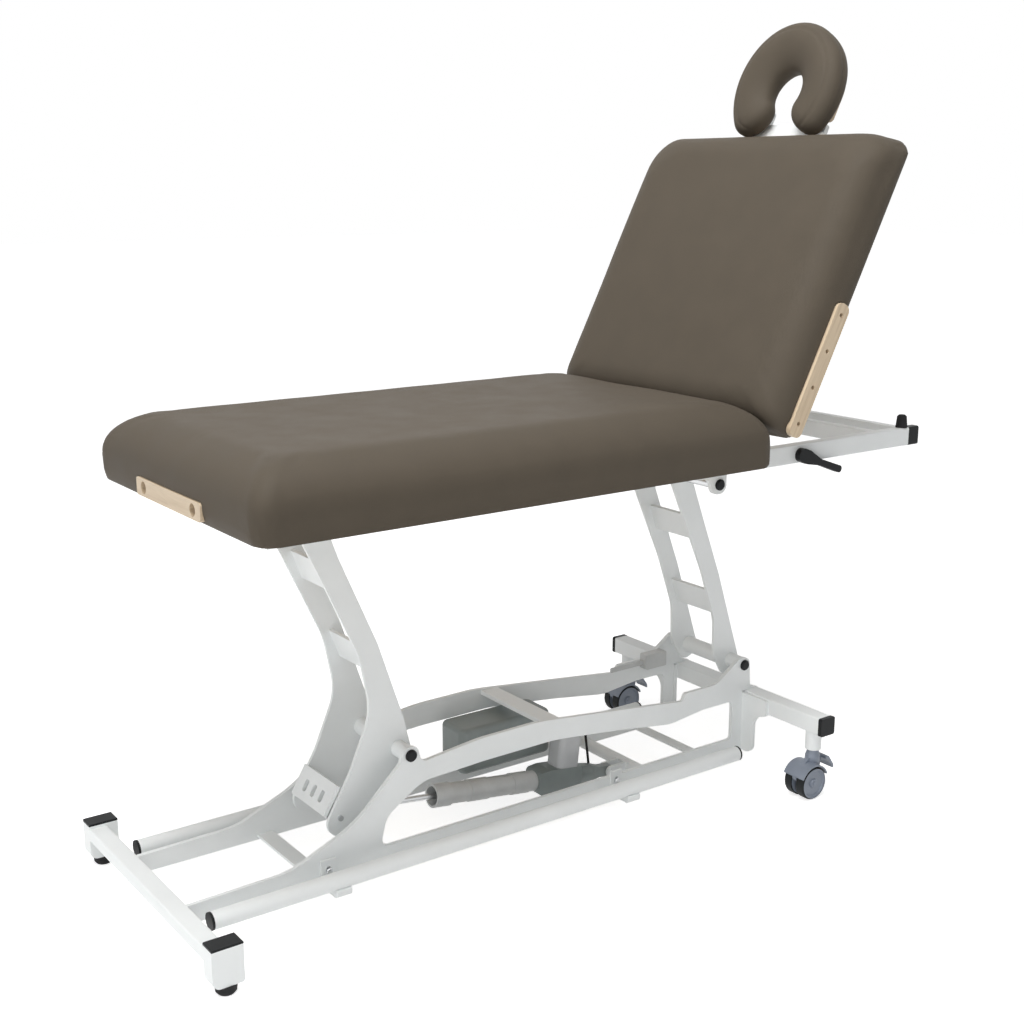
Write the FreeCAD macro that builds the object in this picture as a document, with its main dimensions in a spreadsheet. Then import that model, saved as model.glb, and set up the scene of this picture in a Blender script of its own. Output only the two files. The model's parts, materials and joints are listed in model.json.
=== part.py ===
"""Electric massage table with a lifting parallelogram base, a tilting back section and a face rest.

The model stands in its raised, back-up position. X runs from the foot end to the head end,
Y runs across the table, Z is up from the floor.
"""

import FreeCAD
import Part
import math
import os
import re

from FreeCAD import Placement, Rotation, Vector

SIZES = {
    # whole table
    "origin_x": 900,
    "pad_width": 762,
    "pad_bottom": 830,
    "corner_radius": 36,
    # leg section
    "leg_length": 1240,
    "leg_overhang": 12,
    "leg_height": 138,
    "deck_thickness": 12,
    "deck_margin": 24,
    # back section, measured from the tilt hinge
    "hinge_x": 1245,
    "hinge_z": 915,
    "back_angle": 62.6,
    "back_reach": 711,
    "back_overlap": 14,
    "back_depth": 52,
    "back_height": 106,
    "hinge_y": 150,
    "hinge_pin_radius": 6,
    "hinge_post_thickness": 8,
    "hinge_lug_thickness": 6,
    # base frame
    "pivot_foot_x": 435,
    "pivot_head_x": 1402,
    "pivot_low_z": 271,
    "side_plate_y": 121,
    "side_plate_thickness": 10,
    "rail_floor_gap": 48,
    "strip_thickness": 6,
    "shaft_radius": 12,
    "cap_height": 7,
    "crossbar_wall": 3,
    "foot_bar_span": 586,
    "post_width": 38,
    "head_bar_span": 746,
    "end_cap_depth": 10,
    "caster_x": 1431,
    "caster_y": 340,
    "caster_yaw": 180,
    # lifting links
    "link_lean": 20.47,
    "link_length": 526,
    "link_inner_y": 72,
    "link_plate_thickness": 8,
    "hub_radius": 20,
    "running_gap": 0.08,
    "rung_height": 66,
    "rung_thickness": 8,
    # actuator
    "actuator_y": -42,
    "anchor_x": 1041,
    "anchor_z": 55,
    "tube_outer_radius": 23.5,
    "tube_bore_radius": 21.5,
    "tube_start": 226,
    "tube_length": 244,
    "rod_radius": 7,
    "rod_length": 321,
    "pin_radius": 6,
    # upper frame
    "rail_y": 187.5,
    "rail_width": 25,
    "rail_height": 46,
    "rail_start": 90,
    "rail_length": 1781,
    "rail_cap_length": 37,
    "lug_thickness": 11,
    # foot control bars
    "bar_y": 185,
    "bar_z": 73,
    "bar_radius": 18,
    "bar_start": -45,
    "bar_length": 1375,
    "bracket_width": 34,
    "bar_cap_length": 5,
    # face rest
    "post_y": 117,
    "post_radius": 12,
    "face_ring_radius": 103,
    "face_half_width": 53,
    "face_half_height": 37,
    "face_centre": 817,
    "face_end": 714,
    # casters
    "wheel_radius": 40,
    "wheel_width": 23,
    "wheel_trail": 22,
    "wheel_offset": 8,
    "disc_radius": 36.5,
    "hood_radius": 46,
}
d = type("Sizes", (), SIZES)

doc = FreeCAD.newDocument("massage_table")
sheet = doc.addObject("Spreadsheet::Sheet", "sizes")
for row, (alias, value) in enumerate(SIZES.items(), start=1):
    sheet.set(f"A{row}", alias)
    sheet.set(f"B{row}", str(value))
    sheet.setAlias(f"B{row}", alias)
doc.recompute()

PARTS = []
PLANES = {"XY": "XY_Plane", "XZ": "XZ_Plane", "YZ": "YZ_Plane"}
Y_AXIS = Vector(0, 1, 0)
Z_AXIS = Vector(0, 0, 1)


# Helpers for bound sizes, outlines and solids

def bind(item, prop, text):
    """Set a property from a number, or bind it to a formula of sheet aliases."""
    if isinstance(text, str):
        named = re.sub(r"[a-z_]+", lambda m: "sizes." + m.group() if m.group() in SIZES else m.group(), text)
        item.setExpression(prop, named)
    else:
        setattr(item, prop, text)


def circle(x, y, radius):
    return [Part.Circle(Vector(x, y, 0), Z_AXIS, radius)]


def outline(*corners):
    """Closed outline through (x, y, radius) corners, each corner rounded to its radius."""
    points = [Vector(x, y, 0) for x, y, _ in corners]
    count = len(points)
    runs = []
    for i, (_, _, radius) in enumerate(corners):
        to_last = (points[i - 1] - points[i]).normalize()
        to_next = (points[(i + 1) % count] - points[i]).normalize()
        if radius == 0:
            runs.append((points[i], None, points[i]))
            continue
        half = to_last.getAngle(to_next) / 2
        reach = radius / math.tan(half)
        middle = (to_last + to_next).normalize() * (radius / math.sin(half) - radius)
        runs.append((points[i] + to_last * reach, points[i] + middle, points[i] + to_next * reach))
    edges = []
    for i, (start, middle, end) in enumerate(runs):
        if middle is not None:
            edges.append(Part.Arc(start, middle, end))
        following = runs[(i + 1) % count][0]
        if end.distanceToPoint(following) > 1e-6:
            edges.append(Part.LineSegment(end, following))
    return edges


def rect(x0, y0, x1, y1, radius=0):
    return outline((x0, y0, radius), (x1, y0, radius), (x1, y1, radius), (x0, y1, radius))


def arc_band(x, y, outer, inner, start, end):
    """Part of a flat ring about a centre, between two angles."""

    def point(radius, angle):
        return Vector(x + radius * math.cos(angle), y + radius * math.sin(angle), 0)

    middle = (start + end) / 2
    return [
        Part.Arc(point(outer, start), point(outer, middle), point(outer, end)),
        Part.LineSegment(point(outer, end), point(inner, end)),
        Part.Arc(point(inner, end), point(inner, middle), point(inner, start)),
        Part.LineSegment(point(inner, start), point(outer, start)),
    ]


def sketch_on(body, name, plane, offset, wires):
    sketch = body.newObject("Sketcher::SketchObject", name)
    support = [f for f in body.Origin.OriginFeatures if f.Role == PLANES[plane]][0]
    sketch.AttachmentSupport = [(support, "")]
    sketch.MapMode = "FlatFace"
    sketch.AttachmentOffset = Placement(Vector(0, 0, -offset if plane == "XZ" else offset), Rotation())
    for wire in wires:
        for edge in wire:
            sketch.addGeometry(edge)
    return sketch


def prism(name, plane, start, wires, length):
    """Padded outline: the pad grows from start along the plane's missing axis."""
    body = doc.addObject("PartDesign::Body", name)
    sketch = sketch_on(body, name + "_profile", plane, start, wires)
    pad = body.newObject("PartDesign::Pad", name + "_pad")
    pad.Profile = sketch
    pad.Reversed = plane == "XZ"
    bind(pad, "Length", length)
    return body


def revolved(name, wires):
    """Outline in the XZ plane turned once about the Z axis."""
    body = doc.addObject("PartDesign::Body", name)
    sketch = sketch_on(body, name + "_profile", "XZ", 0, wires)
    turn = body.newObject("PartDesign::Revolution", name + "_turn")
    turn.Profile = sketch
    turn.ReferenceAxis = (sketch, ["V_Axis"])
    turn.Angle = 360
    return body


def round_rims(body, radius):
    """Round the upper and lower rims of a padded body."""
    doc.recompute()
    pad = body.Tip
    level = [edge.BoundBox.ZLength < 1e-6 for edge in pad.Shape.Edges]
    rim = body.newObject("PartDesign::Fillet", body.Name + "_rims")
    rim.Base = (pad, [f"Edge{index}" for index, flat in enumerate(level, start=1) if flat])
    rim.Radius = radius
    body.Tip = rim
    return body


def cut(name, blank, *tools):
    result = doc.addObject("Part::Cut", name)
    result.Base = blank
    result.Tool = tools[0] if len(tools) == 1 else fuse(name + "_tools", *tools)
    return result


def fuse(name, *pieces):
    result = doc.addObject("Part::MultiFuse", name)
    result.Shapes = list(pieces)
    return result


def group(name, *pieces):
    result = doc.addObject("Part::Compound", name)
    result.Links = list(pieces)
    return result


def at(item, x, y, z, axis=Y_AXIS, angle=0):
    item.Placement = Placement(Vector(x, y, z), Rotation(axis, angle))
    return item


def part(label, item):
    """Name a finished sub-part: the label names its file."""
    item.Label = label
    PARTS.append(item)
    return item


def mirrored_pair(make):
    """Build one piece on each side; make takes the side name and the sign of Y."""
    return [make("near", -1), make("far", 1)]


def span(low, thickness, sign):
    """Start of a Y extrusion that lies between low and low + thickness on one side."""
    return low if sign > 0 else -low - thickness


# Base frame

def base_plate(side, sign):
    x0, x1 = d.pivot_foot_x, d.pivot_head_x
    floor = d.rail_floor_gap
    edge = outline(
        (-70, floor, 0), (-70, 87, 0), (150, 91, 150), (300, 153, 240), (x0 - 25, 258, 20),
        (x0 - 17, 289, 16.5), (x0 + 17, 289, 16.5), (x0 + 27, 249, 16), (610, 266, 400), (770, 268, 500),
        (980, 245, 700), (1200, 220, 8), (1208, 238, 8), (1310, 238, 70), (x1 - 17, 289, 16.5),
        (x1 + 17, 289, 16.5), (x1 + 24, 206, 16), (x1 + 51, 204, 0), (1399, 204, 0), (1399, floor, 0),
    )
    window = outline(
        (357, 84, 18), (1366, 84, 10), (1366, 184, 14), (1270, 184, 60), (1160, 171, 120),
        (1000, 194, 400), (815, 215, 500), (620, 213, 500), (462, 206, 80), (375, 150, 50),
    )
    holes = [circle(x, d.pivot_low_z, d.shaft_radius) for x in (x0, x1)]
    start = span(d.side_plate_y, d.side_plate_thickness, sign)
    name = "base_plate_" + side
    return part(name, prism(name, "XZ", start, [edge, window, *holes], "side_plate_thickness"))


mirrored_pair(base_plate)

HEAD_BAR_BOTTOM = 162
HEAD_BAR_TOP = 204
FOOT_BAR_BOTTOM = 62
FOOT_BAR_TOP = 90
POST_TOP = 96
POST_BOTTOM = 20
PLATE_OUTER_Y = d.side_plate_y + d.side_plate_thickness


def hollow_bar(name, x0, x1, z0, z1, length):
    """Rectangular tube across the table."""
    wall = d.crossbar_wall
    outer = rect(x0, z0, x1, z1, 4)
    inner = rect(x0 + wall, z0 + wall, x1 - wall, z1 - wall, 1.5)
    half = SIZES[length] / 2
    return prism(name, "XZ", -half, [outer, inner], length)


part("foot_crossbar", hollow_bar("foot_crossbar", -110, -70, FOOT_BAR_BOTTOM, FOOT_BAR_TOP, "foot_bar_span"))
part("head_crossbar", hollow_bar(
    "head_crossbar", 1409, 1453, HEAD_BAR_BOTTOM, HEAD_BAR_TOP, "head_bar_span",
))


def head_gusset(side, sign):
    """Flared plate that closes the end of a side plate and carries the head crossbar."""
    edge = outline(
        (sign * 118, 50, 0), (sign * 170, 50, 22), (sign * 170, 146, 34), (sign * 212, 161, 6),
        (sign * 212, 200, 6), (sign * 118, 200, 0),
    )
    return prism("head_gusset_" + side, "YZ", 1399, [edge], "side_plate_thickness")


part("head_gussets", group("head_gussets", *mirrored_pair(head_gusset)))


def foot_post(side, sign):
    start = span(d.foot_bar_span / 2, d.post_width, sign)
    edge = outline(
        (-110, POST_TOP, 2), (-110, POST_BOTTOM, 16), (-47, POST_BOTTOM, 6), (-47, POST_TOP, 2),
    )
    return prism("foot_post_" + side, "XZ", start, [edge], "post_width")


part("foot_posts", group("foot_posts", *mirrored_pair(foot_post)))


def post_cap(side, sign):
    start = span(d.foot_bar_span / 2, d.post_width, sign)
    edge = outline((-110, POST_TOP, 0), (-47, POST_TOP, 0), (-47, POST_TOP + 5, 2), (-110, POST_TOP + 5, 2))
    return prism("post_cap_" + side, "XZ", start, [edge], "post_width")


def bar_end_cap(side, sign):
    start = span(d.head_bar_span / 2, d.end_cap_depth, sign)
    edge = rect(1408, HEAD_BAR_BOTTOM - 1, 1454, HEAD_BAR_TOP + 1, 5)
    return prism("bar_end_cap_" + side, "XZ", start, [edge], "end_cap_depth")


base_tube_caps = [*mirrored_pair(post_cap), *mirrored_pair(bar_end_cap)]


def rubber_foot(side, sign):
    edge = outline((0, 0, 0), (16, 0, 0), (20, 5, 0), (22, POST_BOTTOM, 0), (0, POST_BOTTOM, 0))
    return at(revolved("rubber_foot_" + side, [edge]), -77, sign * 312, 0)


part("rubber_feet", group("rubber_feet", *mirrored_pair(rubber_foot)))

STRIP_TOP = 60


def cross_strip(name, x0, x1):
    edge = rect(x0, STRIP_TOP - d.strip_thickness, x1, STRIP_TOP)
    return prism(name, "XZ", -d.side_plate_y, [edge], "2 * side_plate_y")


arch_edge = outline(
    (786, 252, 0), (789, 252, 0), (789, 259, 0), (829, 259, 0), (829, 252, 0), (832, 252, 0),
    (832, 262, 2), (786, 262, 2),
)
arch_crossbar = prism("arch_crossbar", "XZ", -d.side_plate_y, [arch_edge], "2 * side_plate_y")
part("base_crossbars", group(
    "base_crossbars", cross_strip("foot_strip", 198, 234), cross_strip("head_strip", 1262, 1290),
    arch_crossbar,
))

LOWER_PIVOTS = {"foot": d.pivot_foot_x, "head": d.pivot_head_x}


def lower_shaft(end, x):
    edge = circle(x, d.pivot_low_z, d.shaft_radius)
    length = "2 * (side_plate_y + side_plate_thickness)"
    return prism("lower_shaft_" + end, "XZ", -PLATE_OUTER_Y, [edge], length)


part("lower_shafts", group("lower_shafts", *[lower_shaft(end, x) for end, x in LOWER_PIVOTS.items()]))


def pivot_cap(name, x, z, inner_y, sign):
    """Domed plug over a shaft end."""
    height = d.cap_height
    edge = outline((0, 0, 0), (13, 0, 0), (13, height - 3, 0), (10, height, 0), (0, height, 0))
    return at(revolved(name, [edge]), x, sign * inner_y, z, Vector(1, 0, 0), -90 * sign)


lower_pivot_caps = [
    pivot_cap(f"lower_cap_{end}_{side}", x, d.pivot_low_z, PLATE_OUTER_Y, sign)
    for end, x in LOWER_PIVOTS.items() for side, sign in (("near", -1), ("far", 1))
]
part("base_caps", group("base_caps", *base_tube_caps, *lower_pivot_caps))

LINK_OUTER_Y = d.link_inner_y + d.link_plate_thickness
SPACER_GAP = 0.5


def pivot_spacer(end, x, side, sign):
    length = d.side_plate_y - LINK_OUTER_Y - SPACER_GAP
    start = span(LINK_OUTER_Y + SPACER_GAP, length, sign)
    wires = [circle(x, d.pivot_low_z, d.shaft_radius + 6), circle(x, d.pivot_low_z, d.shaft_radius)]
    return prism(f"spacer_{end}_{side}", "XZ", start, wires, length)


part("pivot_spacers", group("pivot_spacers", *[
    pivot_spacer(end, x, side, sign)
    for end, x in LOWER_PIVOTS.items() for side, sign in (("near", -1), ("far", 1))
]))

# Control box, actuator anchor and caster sockets

BOX_X0, BOX_X1 = 652, 905
BOX_Y0, BOX_Y1 = 0, 98
BOX_Z0, BOX_Z1 = 120, 228
box_shell = prism("control_box", "XY", BOX_Z0, [rect(BOX_X0, BOX_Y0, BOX_X1, BOX_Y1, 20)], BOX_Z1 - BOX_Z0)
part("control_box", round_rims(box_shell, 12))

switch_block = prism("switch_block", "XZ", d.side_plate_y - 25, [rect(1281, 217, 1349, 256, 4)], 25)
switch_blade = prism("switch_blade", "XZ", d.side_plate_y - 15, [rect(1172, 229, 1283, 241, 3)], 3)
part("limit_switch", fuse("limit_switch", switch_block, switch_blade))

inlet_edge = rect(38, 150, 68, 174, 3)
inlet_well = rect(41, 153, 65, 171, 2)
inlet_block = prism("mains_inlet_block", "YZ", BOX_X1, [inlet_edge], 16)
inlet_mouth = prism("mains_inlet_well", "YZ", BOX_X1 + 4, [inlet_well], 12)
part("mains_inlet", cut("mains_inlet", inlet_block, inlet_mouth))

ANCHOR_TUBE_X = d.anchor_x + 44
EYE_HALF = 10
CHEEK_GAP = 1


def anchor_cheek(side, sign):
    low = EYE_HALF + CHEEK_GAP
    start = d.actuator_y + span(low, 6, sign)
    edge = outline(
        (d.anchor_x - 13, d.anchor_z - 13, 12), (ANCHOR_TUBE_X, d.anchor_z - 13, 0),
        (ANCHOR_TUBE_X, d.anchor_z + 13, 0), (d.anchor_x - 13, d.anchor_z + 13, 12),
    )
    return prism("anchor_cheek_" + side, "XZ", start, [edge, circle(d.anchor_x, d.anchor_z, d.pin_radius)], 6)


anchor_wires = [circle(ANCHOR_TUBE_X + 15, d.anchor_z, radius) for radius in (15, 12)]
anchor_tube = prism("anchor_tube", "XZ", -d.side_plate_y, anchor_wires, "2 * side_plate_y")
anchor_pad = prism(
    "anchor_pad", "XZ", d.actuator_y - 22,
    [rect(ANCHOR_TUBE_X, d.anchor_z - 13, ANCHOR_TUBE_X + 6, d.anchor_z + 13)], 44,
)
anchor_bore = prism(
    "anchor_bore", "XZ", d.actuator_y - 22, [circle(ANCHOR_TUBE_X + 15, d.anchor_z, 15)], 44,
)
anchor_frame = fuse(
    "anchor_frame", anchor_tube, cut("anchor_shoe", anchor_pad, anchor_bore), *mirrored_pair(anchor_cheek),
)
anchor_pin = prism(
    "anchor_pin", "XZ", d.actuator_y - 20, [circle(d.anchor_x, d.anchor_z, d.pin_radius)], 40,
)
part("actuator_anchor", group("actuator_anchor", anchor_frame, anchor_pin))

SOCKET_BOTTOM = 116
STEM_RADIUS = 8


def caster_socket(side, sign):
    wires = [circle(d.caster_x, sign * d.caster_y, 19), circle(d.caster_x, sign * d.caster_y, 13)]
    return prism("caster_socket_" + side, "XY", SOCKET_BOTTOM, wires, HEAD_BAR_BOTTOM - SOCKET_BOTTOM)


part("caster_sockets", group("caster_sockets", *mirrored_pair(caster_socket)))

# Foot control bars, which slide up and down on shoulder bolts through slotted brackets

BRACKET_X = (232, 991)
BRACKET_Y0 = PLATE_OUTER_Y + 0.6
BAR_TRAVEL = 5
BOLT_RADIUS = 4


def shoulder_bolt(index, x, side, sign):
    """Bolt in the side plate with a head outside the bracket flange."""
    edge = outline(
        (0, 0, 0), (BOLT_RADIUS, 0, 0), (BOLT_RADIUS, 7, 0), (7, 7, 0), (7, 10.5, 0), (5.5, 12, 0),
        (0, 12, 0),
    )
    bolt = revolved(f"shoulder_bolt_{side}_{index}", [edge])
    return at(bolt, x, sign * PLATE_OUTER_Y, d.bar_z, Vector(1, 0, 0), -90 * sign)


part("shoulder_bolts", group("shoulder_bolts", *[
    shoulder_bolt(index, x, side, sign)
    for index, x in enumerate(BRACKET_X) for side, sign in (("near", -1), ("far", 1))
]))


def bar_bracket(index, x, side, sign):
    """Saddle under the bar with a slotted flange against the side plate."""
    edge = outline(
        (sign * BRACKET_Y0, 42, 4), (sign * 203, 42, 10), (sign * 203, 60, 3),
        (sign * (BRACKET_Y0 + 5), 60, 1), (sign * (BRACKET_Y0 + 5), 98, 2), (sign * BRACKET_Y0, 98, 2),
    )
    saddle = prism(f"saddle_{side}_{index}", "YZ", x - d.bracket_width / 2, [edge], "bracket_width")
    seat = prism(
        f"seat_{side}_{index}", "YZ", x - d.bracket_width, [circle(sign * d.bar_y, d.bar_z, d.bar_radius)],
        "2 * bracket_width",
    )
    reach = BAR_TRAVEL + BOLT_RADIUS + 1
    half = BOLT_RADIUS + 0.5
    slot_edge = rect(x - half, d.bar_z - reach, x + half, d.bar_z + reach, half - 0.01)
    slot = prism(f"slot_{side}_{index}", "XZ", span(BRACKET_Y0 - 1, 8, sign), [slot_edge], 8)
    return cut(f"bracket_{side}_{index}", saddle, seat, slot)


def control_bar(side, sign):
    centre = (sign * d.bar_y, d.bar_z)
    tube_wires = [circle(*centre, radius) for radius in (d.bar_radius, d.bar_radius - 2)]
    tube = prism("bar_tube_" + side, "YZ", d.bar_start, tube_wires, "bar_length")
    brackets = [bar_bracket(index, x, side, sign) for index, x in enumerate(BRACKET_X)]
    caps = []
    for index, x in enumerate((d.bar_start - d.bar_cap_length, d.bar_start + d.bar_length)):
        cap_wires = [circle(*centre, d.bar_radius)]
        caps.append(prism(f"bar_cap_{side}_{index}", "YZ", x, cap_wires, "bar_cap_length"))
    part("control_bar_" + side, group("control_bar_" + side, tube, *brackets))
    part("bar_caps_" + side, group("bar_caps_" + side, *caps))


mirrored_pair(control_bar)

# Lifting links, drawn upright from the lower pivot and then leaned


def lean_link(item, x):
    return at(item, x, 0, d.pivot_low_z, Y_AXIS, -d.link_lean)


TOP = d.link_length
CRANK_PIN = (-176, -63)

FOOT_LINK_EDGE = (
    (-31, TOP + 31, 28), (31, TOP + 31, 28), (31, 450, 250), (43, 240, 320), (37, 60, 150), (24, -46, 36),
    (-110, -112, 50), (-180, -116, 30), (-222, -70, 30), (-118, 14, 90), (-26, 110, 130), (-5, 235, 220),
    (-20, 430, 300),
)
HEAD_LINK_EDGE = (
    (-31, TOP + 31, 30), (31, TOP + 31, 30), (33, 390, 300), (36, 230, 300), (27, -32, 26),
    (-32, -34, 26), (-44, 40, 40), (-14, 130, 120), (-12, 270, 200), (-22, 420, 300),
)


def link_plates(name, x, edge, upper_bore, *extra):
    """Near and far side plate of one link."""
    wires = [outline(*edge), circle(0, 0, d.hub_radius), circle(0, TOP, upper_bore), *extra]

    def plate(side, sign):
        start = span(d.link_inner_y, d.link_plate_thickness, sign)
        return prism(f"{name}_{side}", "XZ", start, wires, "link_plate_thickness")

    part(name, lean_link(group(name, *mirrored_pair(plate)), x))


def rung(name, low, offset):
    edge = rect(offset - d.rung_thickness / 2, low, offset + d.rung_thickness / 2, low + d.rung_height)
    return prism(name, "XZ", -d.link_inner_y, [edge], "2 * link_inner_y")


def hub(name, height):
    wires = [circle(0, height, d.hub_radius), circle(0, height, d.shaft_radius + d.running_gap)]
    return prism(name, "XZ", -LINK_OUTER_Y, wires, "2 * (link_inner_y + link_plate_thickness)")


crank_hole = circle(*CRANK_PIN, d.pin_radius)
link_plates("foot_link_plates", d.pivot_foot_x, FOOT_LINK_EDGE, d.shaft_radius + d.running_gap, crank_hole)
link_plates("head_link_plates", d.pivot_head_x, HEAD_LINK_EDGE, d.hub_radius)


def crank_cover():
    """Cross plate with three slots that ties the two crank arms together."""
    cover_edge = rect(-34, -d.link_inner_y, 34, d.link_inner_y)
    blank = prism("crank_cover_blank", "XY", -4, [cover_edge], "rung_thickness")
    slots = []
    for index in range(3):
        y = (index - 1) * 34
        slots.append(prism(f"crank_slot_{index}", "XY", -6, [rect(-16, y - 7, 10, y + 7, 5)], 12))
    cover = cut("crank_cover", blank, *slots)
    cover.Placement = Placement(Vector(-176, 0, -24), Rotation(Y_AXIS, -39))
    return cover


part("foot_link_rungs", lean_link(group(
    "foot_link_rungs", rung("foot_rung_upper", 385, 4), rung("foot_rung_lower", 180, 16), crank_cover(),
    hub("foot_hub_lower", 0),
), d.pivot_foot_x))
part("head_link_rungs", lean_link(group(
    "head_link_rungs", rung("head_rung_upper", 345, 6), rung("head_rung_lower", 130, 8),
    hub("head_hub_lower", 0), hub("head_hub_upper", TOP),
), d.pivot_head_x))
part("crank_pin", lean_link(
    prism("crank_pin", "XZ", -LINK_OUTER_Y - 5, [crank_hole], 2 * LINK_OUTER_Y + 10), d.pivot_foot_x,
))

# Actuator, drawn along minus X from its rear pin and then tilted


link_turn = math.radians(d.link_lean)
crank_x = d.pivot_foot_x + CRANK_PIN[0] * math.cos(link_turn) - CRANK_PIN[1] * math.sin(link_turn)
crank_z = d.pivot_low_z + CRANK_PIN[0] * math.sin(link_turn) + CRANK_PIN[1] * math.cos(link_turn)
STROKE = math.hypot(crank_x - d.anchor_x, crank_z - d.anchor_z)
ACTUATOR_TILT = math.degrees(math.atan2(crank_z - d.anchor_z, d.anchor_x - crank_x))


def tilt_actuator(item):
    return at(item, d.anchor_x, d.actuator_y, d.anchor_z, Y_AXIS, ACTUATOR_TILT)


def ring(name, start, length, outer, inner):
    """Tube along minus X between two distances from the rear pin."""
    wires = [circle(0, 0, outer)]
    if inner:
        wires.append(circle(0, 0, inner))
    return prism(name, "YZ", -start - SIZES.get(length, length), wires, length)


def pin_bore(name, distance, radius):
    """Cross bore for a pin, at a distance along minus X."""
    return prism(name, "XZ", -30, [circle(-distance, 0, radius + d.running_gap)], 60)


def eye(name, distance, radius, half):
    return prism(name, "XZ", -half, [circle(-distance, 0, radius)], 2 * half)


tube_end = d.tube_start + d.tube_length
outer_tube = ring("outer_tube", d.tube_start, "tube_length", d.tube_outer_radius, d.tube_bore_radius)
collars = [
    ring("rear_collar", d.tube_start + 20, 46, d.tube_outer_radius + 1.5, d.tube_outer_radius),
    ring("middle_collar", d.tube_start + 132, 52, d.tube_outer_radius + 1.5, d.tube_outer_radius),
]
nose = ring("tube_nose", tube_end - 8, 42, d.tube_outer_radius + 3, d.tube_bore_radius)
part("actuator_tube", tilt_actuator(fuse("actuator_tube", outer_tube, *collars, nose)))

GEAR_TOP = 30
MOTOR_TOP = 114
LID_TOP = MOTOR_TOP + 6
gear_edge = outline(
    (-226, -26, 12), (-196, -32, 30), (-101, -27, 12), (-101, GEAR_TOP, 8), (-196, GEAR_TOP, 30),
    (-226, 24, 10),
)
part("gear_housing", tilt_actuator(prism("gear_housing", "XZ", -28, [gear_edge], 56)))

motor_shell = prism("motor_shell", "XY", GEAR_TOP, [rect(-172, -27, -110, 27, 14)], MOTOR_TOP - GEAR_TOP)
motor_lid = prism("motor_lid", "XY", MOTOR_TOP, [rect(-168, -23, -114, 23, 11)], LID_TOP - MOTOR_TOP)
part("motor_housing", tilt_actuator(fuse("motor_housing", motor_shell, motor_lid)))

rear_edge = outline((-101, -24, 6), (-58, -20, 8), (-30, -13, 8), (14, -13, 12.9), (14, 13, 12.9),
                    (-30, 13, 8), (-58, 20, 8), (-101, 24, 6))
rear_eye = prism(
    "rear_eye", "XZ", -EYE_HALF,
    [rear_edge, circle(0, 0, d.pin_radius + d.running_gap)], 2 * EYE_HALF,
)
SLEEVE_RADIUS = 22
rear_sleeve = ring("rear_sleeve", 60, 41, SLEEVE_RADIUS, 0)
part("actuator_rear", tilt_actuator(fuse("actuator_rear", rear_eye, rear_sleeve)))

CABLE_RADIUS = 3
CABLE_BEND = 17
CABLE_SLANT = math.radians(15)
cable_start = Vector(-124, 0, LID_TOP)
bend_centre = cable_start + Vector(CABLE_BEND, 0, 8)


def on_bend(angle):
    return bend_centre + Vector(CABLE_BEND * math.cos(angle), 0, CABLE_BEND * math.sin(angle))


cable_drop = on_bend(CABLE_SLANT).z - SLEEVE_RADIUS - 1.2
cable_end = on_bend(CABLE_SLANT) + Vector(cable_drop * math.tan(CABLE_SLANT), 0, -cable_drop)
cable_route = Part.Wire([
    Part.makeLine(cable_start, on_bend(math.pi)),
    Part.Arc(on_bend(math.pi), on_bend(math.pi / 2), on_bend(CABLE_SLANT)).toShape(),
    Part.makeLine(on_bend(CABLE_SLANT), cable_end),
])
cable = doc.addObject("Part::Feature", "actuator_cable")
cable_section = Part.Wire(Part.makeCircle(CABLE_RADIUS, cable_start, Z_AXIS))
cable.Shape = cable_route.makePipeShell([cable_section], True, False)
part("actuator_cable", tilt_actuator(cable))

rod_blank = fuse(
    "rod_blank", ring("rod_bar", STROKE - d.rod_length, "rod_length", d.rod_radius, 0),
    eye("rod_eye", STROKE, 18, EYE_HALF),
)
actuator_rod = cut("actuator_rod", rod_blank, pin_bore("rod_bore", STROKE, d.pin_radius))
part("actuator_rod", tilt_actuator(actuator_rod))

# Upper frame

RAIL_BOTTOM = d.pad_bottom - d.rail_height
UPPER_Z = d.pivot_low_z + TOP * math.cos(math.radians(d.link_lean))
UPPER_SHIFT = TOP * math.sin(math.radians(d.link_lean))
UPPER_FOOT_X = d.pivot_foot_x - UPPER_SHIFT
UPPER_HEAD_X = d.pivot_head_x - UPPER_SHIFT
RAIL_END = d.rail_start + d.rail_length
LEVER_X, LEVER_Z = 1477, 804
SPINDLE_RADIUS = 5


def frame_rail(side, sign):
    y0 = span(d.rail_y, d.rail_width, sign)
    wall = d.crossbar_wall
    outer = rect(y0, RAIL_BOTTOM, y0 + d.rail_width, d.pad_bottom, 4)
    inner = rect(y0 + wall, RAIL_BOTTOM + wall, y0 + d.rail_width - wall, d.pad_bottom - wall, 1.5)
    rail = prism("frame_rail_" + side, "YZ", d.rail_start, [outer, inner], "rail_length")
    if side == "far":
        return rail
    spindle_hole = circle(LEVER_X, LEVER_Z, SPINDLE_RADIUS + d.running_gap)
    return cut("frame_rail_drilled", rail, prism("spindle_hole", "XZ", y0 - 2, [spindle_hole], 2 * wall))


part("frame_rails", group("frame_rails", *mirrored_pair(frame_rail)))


def rail_cap(side, sign):
    y0 = span(d.rail_y, d.rail_width, sign)
    edge = rect(y0 - 0.5, RAIL_BOTTOM - 0.5, y0 + d.rail_width + 0.5, d.pad_bottom + 0.5, 5)
    return prism("rail_cap_" + side, "YZ", RAIL_END, [edge], "rail_cap_length")


def bumper(side, sign):
    edge = outline((0, 0, 0), (15, 0, 0), (12, 28, 0), (8, 32, 0), (0, 32, 0))
    stop = revolved("bumper_" + side, [edge])
    return at(stop, 1856, sign * (d.rail_y + d.rail_width / 2), d.pad_bottom)


part("back_bumpers", group("back_bumpers", *mirrored_pair(bumper)))


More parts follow.
